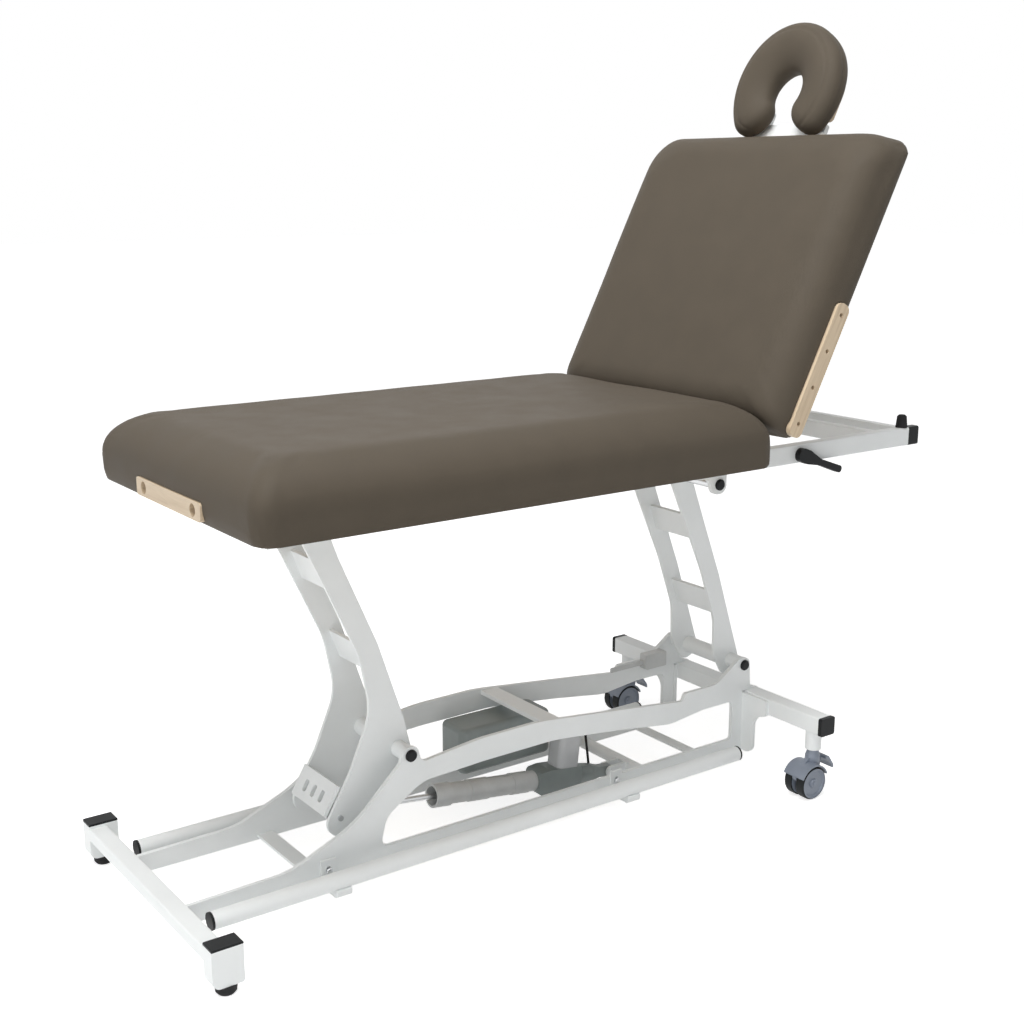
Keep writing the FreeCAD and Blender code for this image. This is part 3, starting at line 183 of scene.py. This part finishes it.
def moulded(name, colour, roughness=0.45, grain=700.0, depth=0.18, gloss=0.5):
    """Moulded plastic or rubber with a fine spark texture."""
    material, tree, shader = new_material(name, colour, roughness)
    shader.inputs["Specular IOR Level"].default_value = gloss
    vector = object_coords(tree)
    mottled(tree, shader, vector, colour, scale=20.0, spread=0.08, roughness=roughness)
    spark = noise(tree, vector, Scale=grain, Detail=4.0)
    bump(tree, shader, spark, strength=depth, distance=0.0005)
    return material


def brushed(name, colour, roughness=0.3):
    """Bare steel with drawn lines."""
    material, tree, shader = new_material(name, colour, roughness, metallic=1.0)
    vector = object_coords(tree, scale=(1, 60, 60))
    lines = noise(tree, vector, Scale=60.0, Detail=6.0)
    vary_roughness(tree, shader, lines, roughness - 0.06, roughness + 0.1)
    bump(tree, shader, lines, strength=0.05, distance=0.0004)
    return material


BIRCH_TONES = (0.66, 0.53, 0.375), (0.54, 0.41, 0.27)
PLY_TONES = (0.5, 0.37, 0.23), (0.4, 0.28, 0.165)

WHITE = powder_coat("white_coat", (0.85, 0.875, 0.875))
TAUPE = vinyl("taupe_vinyl", (0.094, 0.078, 0.059))
BIRCH = wood("birch_strip", *BIRCH_TONES, grain_axis=1)
RAISED_BIRCH = wood("raised_birch_strip", *BIRCH_TONES, grain_axis=0, tilt=BACK_TILT)
PLY = wood("deck_ply", *PLY_TONES, grain_axis=1)
BLACK = moulded("black_cap", (0.012, 0.013, 0.014), 0.42, gloss=0.14)
RUBBER = moulded("rubber", (0.018, 0.018, 0.019), 0.7, grain=500.0, depth=0.3, gloss=0.2)
STEEL = brushed("bright_steel", (0.62, 0.63, 0.64))
DARK_GREY = moulded("grey_green_case", (0.235, 0.265, 0.26), 0.48)
MID_GREY = moulded("mid_grey_case", (0.58, 0.59, 0.585), 0.42)
LIGHT_GREY = moulded("light_grey_case", (0.5, 0.51, 0.52), 0.4)
SPRING = powder_coat("spring_tube", (0.02, 0.02, 0.021), 0.35)
DISC = moulded("caster_disc", (0.22, 0.25, 0.305), 0.4)
TYRE = moulded("caster_tyre", (0.012, 0.014, 0.015), 0.6, grain=500.0, depth=0.25, gloss=0.2)

BY_SLOT = {
    "frame_white": WHITE,
    "upholstery": TAUPE,
    "plywood": BIRCH,
    "deck": PLY,
    "black_plastic": BLACK,
    "rubber": RUBBER,
    "cable": RUBBER,
    "steel": STEEL,
    "dark_grey": DARK_GREY,
    "grey": MID_GREY,
    "spring_black": SPRING,
    "caster_wheel": DISC,
    "caster_body": DISC,
}
for entry in frame["record"]["subparts"]:
    mesh = nodes[entry["node"]].data
    mesh.materials.clear()
    mesh.materials.append(BY_SLOT[entry["material_slot"]])
nodes["motor_housing"].data.materials[0] = LIGHT_GREY
nodes["back_outlet_strips"].data.materials[0] = RAISED_BIRCH

# Caster wheels: the tyre has its own material

AXLE_X, AXLE_Z = 0.509, 0.04
DISC_RADIUS = 0.0366

for side in ("near", "far"):
    for wheel in ("left", "right"):
        mesh = nodes[f"caster_wheel_{side}_{wheel}"].data
        mesh.materials.append(TYRE)
        for polygon in mesh.polygons:
            reach = math.hypot(polygon.center.x - AXLE_X, polygon.center.z - AXLE_Z)
            polygon.material_index = 1 if reach > DISC_RADIUS else 0


def crisp_shading(obj, angle=35):
    """Smooth shading that keeps real edges sharp."""
    obj.data.shade_smooth()
    obj.data.set_sharp_from_angle(angle=math.radians(angle))


for node in nodes.values():
    crisp_shading(node)


# Meshes

def new_object(name, mesh, material, smooth=True):
    obj = bpy.data.objects.new(name, mesh)
    scene.collection.objects.link(obj)
    mesh.materials.append(material)
    if smooth:
        mesh.shade_smooth()
    return obj


def finished_mesh(name, bm):
    mesh = bpy.data.meshes.new(name)
    bm.to_mesh(mesh)
    bm.free()
    return mesh


def bridge(bm, first, second):
    """Faces between two rings of points."""
    for i in range(len(first)):
        j = (i + 1) % len(first)
        bm.faces.new((first[i], first[j], second[j], second[i]))


def coords(obj):
    values = np.empty(len(obj.data.vertices) * 3)
    obj.data.vertices.foreach_get("co", values)
    return values.reshape(-1, 3)


def set_coords(obj, values):
    obj.data.vertices.foreach_set("co", values.ravel())
    obj.data.update()


def apply_modifiers(obj):
    depsgraph = bpy.context.evaluated_depsgraph_get()
    mesh = bpy.data.meshes.new_from_object(obj.evaluated_get(depsgraph))
    old = obj.data
    obj.modifiers.clear()
    obj.data = mesh
    bpy.data.meshes.remove(old)


def remesh(obj, size):
    modifier = obj.modifiers.new("remesh", "REMESH")
    modifier.mode = "VOXEL"
    modifier.voxel_size = size
    apply_modifiers(obj)


PRESSURE = 4.0
FRAMES = 14
TINY = 1e-6


def inflate(obj, pinned, cap):
    """Blow the cover up as cloth, held where pinned says; no point moves further than cap."""
    rest = coords(obj)
    group = obj.vertex_groups.new(name="held")
    group.add([i for i, co in enumerate(rest) if pinned(co)], 1.0, "ADD")
    cloth = obj.modifiers.new("cloth", "CLOTH")
    cloth.settings.use_pressure = True
    cloth.settings.uniform_pressure_force = PRESSURE
    cloth.settings.effector_weights.gravity = 0
    cloth.settings.vertex_group_mass = group.name
    cloth.settings.quality = 4
    cloth.point_cache.frame_start = 1
    cloth.point_cache.frame_end = FRAMES
    for step in range(1, FRAMES + 1):
        scene.frame_set(step)
    apply_modifiers(obj)
    scene.frame_set(1)
    shift = coords(obj) - rest
    length = np.linalg.norm(shift, axis=1, keepdims=True)
    set_coords(obj, rest + shift * np.minimum(1.0, cap / np.maximum(length, 1e-9)))


def relax(obj, rounds, held):
    """Smooth the cover, except where held says that an edge stays crisp."""
    group = obj.vertex_groups.new(name="free")
    group.add([v.index for v in obj.data.vertices if not held(v.co)], 1.0, "ADD")
    modifier = obj.modifiers.new("relax", "SMOOTH")
    modifier.factor = 0.5
    modifier.iterations = rounds
    modifier.vertex_group = group.name
    apply_modifiers(obj)


def declare_cushion(obj, body, node):
    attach(obj, body)
    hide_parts(node)


# Leg and back cushions: a crowned block is blown up as cloth and pleated at its corners,
# and the rooms for decks, plates and brackets are cut afterwards

HALF = 0.3805
CORNER = 0.036
END_REACH = 0.25
LOWEST_TURN, RING_STEP = -45, 9
PLEATS = (18, 36, 54, 72)
PLEAT_DEPTH = 0.0022
PLEAT_WIDTH = 5.0
PLEAT_LEVEL, PLEAT_SPAN = 0.12, 0.3
WAVE_DEPTH = 0.0007
COVER_VOXEL = 0.0075
COVER_SWELL = 0.0035
HELD_BAND, CRISP_BAND = 0.012, 0.009


def rounded_rect(x0, y0, x1, y1, low_radius, high_radius, steps=8):
    """Outline with its own corner radius at the low end and at the high end."""
    points = []
    for cx, cy, start in ((x1, y1, 0), (x0, y1, 90), (x0, y0, 180), (x1, y0, 270)):
        radius = high_radius if cx == x1 else low_radius
        sx = cx - radius if cx == x1 else cx + radius
        sy = cy - radius if cy == y1 else cy + radius
        for i in range(steps + 1):
            turn = math.radians(start + 90 * i / steps)
            points.append((sx + radius * math.cos(turn), sy + radius * math.sin(turn)))
    return points


def cushion_mesh(name, x0, x1, bottom, height, lower, upper, end):
    """Rounded rectangles stacked along an ellipse.

    Below and above its widest level, lower and upper draw in the sides and both ends.
    The high end leans back, bows out in the middle and has wider corners towards its top,
    as end says.
    """
    lean, bow, growth = end
    bm = bmesh.new()
    rise = height / (1 + math.sin(math.radians(-LOWEST_TURN)))
    rings = []
    for angle in range(LOWEST_TURN, 91, RING_STEP):
        turn = math.radians(angle)
        draws = lower if turn < 0 else upper
        side, low, high = [draw * (1 - math.cos(turn)) for draw in draws]
        level = bottom + height - rise * (1 - math.sin(turn))
        up = (level - bottom) / height
        outline = rounded_rect(
            x0 + low, side - HALF, x1 - high - lean * up, HALF - side,
            CORNER, CORNER + growth * up,
        )
        ring = []
        for x, y in outline:
            near_end = max(0.0, 1 - (x1 - x) / END_REACH)
            inward = bow * up * near_end * (y / HALF) ** 2
            ring.append(bm.verts.new((x - inward, y, level)))
        rings.append(ring)
    for below, above in zip(rings, rings[1:]):
        bridge(bm, below, above)
    bm.faces.new(reversed(rings[0]))
    bm.faces.new(rings[-1])
    return finished_mesh(name, bm)


def gather(obj, x0, x1, bottom, height):
    """Pleats where the cover folds round each corner, and slow waves over the top."""
    co = coords(obj)
    lift = (co[:, 2] - bottom) / height
    for cx, along in ((x0 + CORNER, -1), (x1 - CORNER, 1)):
        for cy, across in ((-HALF + CORNER, -1), (HALF - CORNER, 1)):
            dx = (co[:, 0] - cx) * along
            dy = (co[:, 1] - cy) * across
            inside = (dx > 0) & (dy > 0)
            turn = np.degrees(np.arctan2(dy, dx))
            fold = sum(np.exp(-((turn - place) / PLEAT_WIDTH) ** 2) for place in PLEATS)
            fade = np.exp(-((lift - PLEAT_LEVEL) / PLEAT_SPAN) ** 2)
            depth = PLEAT_DEPTH * fold * fade * inside
            away = np.maximum(np.hypot(co[:, 0] - cx, co[:, 1] - cy), TINY)
            co[:, 0] -= depth * (co[:, 0] - cx) / away
            co[:, 1] -= depth * (co[:, 1] - cy) / away
    waves = np.sin(17 * co[:, 0] + 0.8) * np.sin(21 * co[:, 1])
    waves += 0.6 * np.sin(39 * co[:, 0]) * np.sin(13 * co[:, 1] + 2)
    co[:, 2] += WAVE_DEPTH * waves * np.clip((lift - 0.5) * 2, 0, 1)
    set_coords(obj, co)


def block(name, x0, x1, y0, y1, z0, z1, round_axis=2, radius=1e-5):
    """Cutter with rounded corners seen along one axis."""
    bm = bmesh.new()
    spans = [(x0, x1), (y0, y1), (z0, z1)]
    first, second = [i for i in range(3) if i != round_axis]
    (u0, u1), (v0, v1) = spans[first], spans[second]
    loop = rounded_rect(u0, v0, u1, v1, radius, radius, steps=5)
    rings = []
    for height in spans[round_axis]:
        ring = []
        for u, v in loop:
            point = [0, 0, 0]
            point[first], point[second], point[round_axis] = u, v, height
            ring.append(bm.verts.new(point))
        rings.append(ring)
    bridge(bm, *rings)
    bm.faces.new(rings[0])
    bm.faces.new(rings[1])
    bmesh.ops.recalc_face_normals(bm, faces=bm.faces)
    return finished_mesh(name, bm)


def bore(x0, x1, y, z, radius=0.0125):
    """Round cutter along X; its corners stop just short of meeting."""
    return block(
        "bore", x0, x1, y - radius, y + radius, z - radius, z + radius,
        round_axis=0, radius=radius * 0.999,
    )


def cut_rooms(obj, cutters):
    for index, mesh in enumerate(cutters):
        cutter = bpy.data.objects.new(f"room_{index}", mesh)
        scene.collection.objects.link(cutter)
        modifier = obj.modifiers.new("room", "BOOLEAN")
        modifier.operation = "DIFFERENCE"
        modifier.solver = "EXACT"
        modifier.object = cutter
        apply_modifiers(obj)
        bpy.data.objects.remove(cutter)
        bpy.data.meshes.remove(mesh)


def make_cushion(name, x0, x1, bottom, height, lower, upper, end, cutters, place, body, node):
    mesh = cushion_mesh(name, x0, x1, bottom, height, lower, upper, end)
    obj = new_object(name, mesh, TAUPE)
    remesh(obj, COVER_VOXEL)
    inflate(obj, lambda co: co[2] < bottom + HELD_BAND, COVER_SWELL)
    relax(obj, 5, lambda co: co[2] < bottom + CRISP_BAND)
    gather(obj, x0, x1, bottom, height)
    cut_rooms(obj, cutters)
    obj.data.transform(place)
    crisp_shading(obj, 50)
    declare_cushion(obj, body, node)


# Rooms: where the decks, plates, strips and brackets of the CAD sit, with a little clearance

DECK_HALF = 0.358
OUTLET_HALF, OUTLET_CORNER = 0.1535, 0.009
BORE_PLACE = 0.117
STRIP_INNER, STRIP_OUTER, STRIP_CORNER = 0.3725, 0.4, 0.016
POCKET_PLACE, POCKET_HALF = 0.15, 0.019
LEG_BOTTOM = 0.83
BACK_BOTTOM = -0.052

leg_rooms = [
    block("deck", -0.877, 0.305, -DECK_HALF, DECK_HALF, LEG_BOTTOM - 0.01, LEG_BOTTOM + 0.0125),
    block(
        "outlet", -0.93, -0.8925, -OUTLET_HALF, OUTLET_HALF, 0.8355, 0.8745,
        round_axis=0, radius=OUTLET_CORNER,
    ),
    bore(-0.9, -0.77, -BORE_PLACE, 0.855),
    bore(-0.9, -0.77, BORE_PLACE, 0.855),
]
make_cushion(
    "leg_pad", x0=-0.9115, x1=0.3275, bottom=LEG_BOTTOM, height=0.1405,
    lower=(0.014, 0.04, 0.01), upper=(0.1, 0.095, 0.11), end=(0.0, 0.0, 0.0),
    cutters=leg_rooms, place=Matrix.Identity(4), body="upper_frame", node="leg_cushion",
)

back_rooms = [
    block("deck", 0.003, 0.688, -DECK_HALF, DECK_HALF, -0.06, -0.0395),
    block(
        "outlet", 0.6935, 0.75, -OUTLET_HALF, OUTLET_HALF, -0.0465, -0.0075,
        round_axis=0, radius=OUTLET_CORNER,
    ),
]
for sign in (-1, 1):
    strip = sorted((sign * STRIP_INNER, sign * STRIP_OUTER))
    middle = sign * POCKET_PLACE
    back_rooms += [
        block(
            "strip", -0.0095, 0.3075, *strip, -0.0505, -0.0075,
            round_axis=1, radius=STRIP_CORNER,
        ),
        block("pocket", -0.04, 0.07, middle - POCKET_HALF, middle + POCKET_HALF, -0.06, 0.017),
        bore(0.55, 0.72, sign * BORE_PLACE, -0.027),
    ]
make_cushion(
    "back_pad", x0=-0.0135, x1=0.7105, bottom=BACK_BOTTOM, height=0.117,
    lower=(0.005, 0.007, 0.005), upper=(0.062, 0.06, 0.058), end=(0.004, 0.02, 0.055),
    cutters=back_rooms, place=BACK, body="back_section", node="back_cushion",
)


# Face cushion: a horseshoe wedge on its board, drawn flat along the back

FACE_RING, FACE_CENTRE, FACE_MID = 0.1065, 0.8125, 0.011
FACE_HALF_WIDTH, FACE_HALF_HEIGHT, FACE_TIP = 0.0565, 0.0405, 0.040
FACE_WRAP = math.radians(33)
FACE_LEAN = math.tan(math.radians(9.5))
FACE_SEAT = -0.0235
FACE_THINNEST = 0.006
FACE_DISH = 0.3
FACE_VOXEL = 0.0042
FACE_SWELL = 0.0022
FACE_HELD_BAND = 0.006
SPINE_STEPS, TIP_STEPS, SECTION_POINTS = 72, 10, 40
TIP_END = 0.97
SEAMS = (0.0, math.radians(58))
SEAM_WIDTH, SEAM_DEPTH = 0.07, 0.0022


def face_middle(a):
    """Height of the widest line of the wedge above the back's plane."""
    return FACE_MID + FACE_LEAN * (a - FACE_CENTRE)


def face_spine():
    """Points along the horseshoe, each with its outward direction and how full the section is."""
    centre = Vector((FACE_CENTRE, 0, 0))
    spine = []
    for i in range(SPINE_STEPS + 1):
        turn = (math.pi / 2 + FACE_WRAP) * (2 * i / SPINE_STEPS - 1)
        outward = Vector((math.cos(turn), math.sin(turn), 0))
        spine.append((centre + outward * FACE_RING, outward, 1.0))
    tips = []
    for end, sign in ((0, -1), (SPINE_STEPS, 1)):
        place, outward, _ = spine[end]
        onward = Vector((-outward.y, outward.x, 0)) * sign
        tip = []
        for i in range(1, TIP_STEPS + 1):
            turn = math.pi / 2 * i / TIP_STEPS * TIP_END
            tip.append((place + onward * (FACE_TIP * math.sin(turn)), outward, math.cos(turn)))
        tips.append(tip)
    return list(reversed(tips[0])) + spine + tips[1]


def signed_power(value, power):
    return math.copysign(abs(value) ** power, value)


def face_loop(bm, place, outward, full):
    """Ring of points round the stuffed section: flat seat below, crown above."""
    points = []
    for i in range(SECTION_POINTS):
        turn = 2 * math.pi * i / SECTION_POINTS
        c, s = math.cos(turn), math.sin(turn)
        point = place + outward * (FACE_HALF_WIDTH * full * signed_power(c, 0.8))
        middle = face_middle(point.x)
        if s > 0:
            high = FACE_HALF_HEIGHT * (1 - FACE_DISH * max(0.0, -c) * full)
        else:
            high = max(middle - FACE_SEAT, FACE_THINNEST)
        point.z = middle + high * full ** 0.6 * signed_power(s, 0.75)
        points.append(bm.verts.new(point))
    return points


def pinch_seams(obj):
    """Draw the cover in along the stitched lines on the outer side."""
    co = coords(obj)
    dx = co[:, 0] - FACE_CENTRE
    away = np.maximum(np.hypot(dx, co[:, 1]), TINY)
    out = away - FACE_RING
    lift = co[:, 2] - face_middle(co[:, 0])
    turn = np.arctan2(lift / FACE_HALF_HEIGHT, out / FACE_HALF_WIDTH)
    pinch = sum(np.exp(-((turn - place) / SEAM_WIDTH) ** 2) for place in SEAMS) * (out > 0)
    size = np.maximum(np.hypot(out, lift), TINY)
    pull = SEAM_DEPTH * pinch
    co[:, 0] -= pull * out / size * dx / away
    co[:, 1] -= pull * out / size * co[:, 1] / away
    co[:, 2] -= pull * lift / size
    set_coords(obj, co)


def face_pad():
    """Horseshoe wedge of stuffed vinyl with two stitched seams round its outer side."""
    bm = bmesh.new()
    loops = [face_loop(bm, *station) for station in face_spine()]
    for here, onward in zip(loops, loops[1:]):
        bridge(bm, here, onward)
    bm.faces.new(loops[0])
    bm.faces.new(loops[-1])
    bmesh.ops.recalc_face_normals(bm, faces=bm.faces)
    obj = new_object("face_pad", finished_mesh("face_pad", bm), TAUPE)
    remesh(obj, FACE_VOXEL)
    inflate(obj, lambda co: co[2] < FACE_SEAT + FACE_HELD_BAND, FACE_SWELL)
    relax(obj, 3, lambda co: False)
    pinch_seams(obj)
    obj.data.transform(BACK)
    obj.data.shade_smooth()
    declare_cushion(obj, "face_rest", "face_cushion")


face_pad()

# Stage, light and camera

FLOOR_REACH = 30
FLOOR_GLOW = 0.66
SKY_LIGHT = 0.34


def seen_directly(tree):
    """One for rays that show the background to the camera, also in gloss and through glass."""
    paths = tree.nodes.new("ShaderNodeLightPath")
    result = paths.outputs["Is Camera Ray"]
    for other in ("Is Glossy Ray", "Is Transmission Ray"):
        either = tree.nodes.new("ShaderNodeMath")
        either.operation = "MAXIMUM"
        tree.links.new(result, either.inputs[0])
        tree.links.new(paths.outputs[other], either.inputs[1])
        result = either.outputs["Value"]
    return result


floor_mesh = bpy.data.meshes.new("floor")
turns = ((-1, -1), (1, -1), (1, 1), (-1, 1))
floor_corners = [(x * FLOOR_REACH, y * FLOOR_REACH, 0) for x, y in turns]
floor_mesh.from_pydata(floor_corners, [], [(0, 1, 2, 3)])
floor_material, floor_tree, floor_shader = new_material("floor", (0.92, 0.92, 0.92), 0.9)
floor_shader.inputs["Emission Color"].default_value = (1, 1, 1, 1)
glow = floor_tree.nodes.new("ShaderNodeMath")
glow.operation = "MULTIPLY"
glow.inputs[1].default_value = FLOOR_GLOW
floor_tree.links.new(seen_directly(floor_tree), glow.inputs[0])
floor_tree.links.new(glow.outputs["Value"], floor_shader.inputs["Emission Strength"])
floor = new_object("floor", floor_mesh, floor_material, smooth=False)

scene.view_settings.view_transform = "Standard"
world = bpy.data.worlds.new("studio")
scene.world = world
world.use_nodes = True
sky_tree = world.node_tree
background = sky_tree.nodes["Background"]
background.inputs["Color"].default_value = (1, 1, 1, 1)
sky_level = add(sky_tree, "ShaderNodeMapRange", To_Min=SKY_LIGHT, To_Max=1.0)
sky_tree.links.new(seen_directly(sky_tree), sky_level.inputs["Value"])
sky_tree.links.new(sky_level.outputs["Result"], background.inputs["Strength"])


def area_light(name, place, target, size, energy):
    light = bpy.data.lights.new(name, "AREA")
    light.shape = "DISK"
    light.size = size
    light.energy = energy
    obj = bpy.data.objects.new(name, light)
    scene.collection.objects.link(obj)
    obj.location = place
    aim = Vector(target) - Vector(place)
    obj.rotation_euler = aim.to_track_quat("-Z", "Y").to_euler()


area_light("key", (-1.0, -0.7, 4.4), target=(0.1, 0, 0.7), size=2.6, energy=135)
area_light("fill", (-3.2, -3.9, 2.2), target=(0, 0, 0.5), size=3.0, energy=36)
area_light("front", (-9.0, -0.9, 3.6), target=(0.5, 0, 0.9), size=4.75, energy=146)

CAMERA_PLACE = (-1.90885, -2.49745, 1.44386)
CAMERA_DIP, CAMERA_HEADING = 13.26, -35.75

camera_data = bpy.data.cameras.new("camera")
camera_data.lens = 49.92
camera_data.sensor_width = 36.0
camera = bpy.data.objects.new("camera", camera_data)
camera.location = CAMERA_PLACE
camera.rotation_euler = (math.radians(90 - CAMERA_DIP), 0, math.radians(CAMERA_HEADING))
scene.collection.objects.link(camera)
scene.camera = camera

bpy.context.view_layer.update()
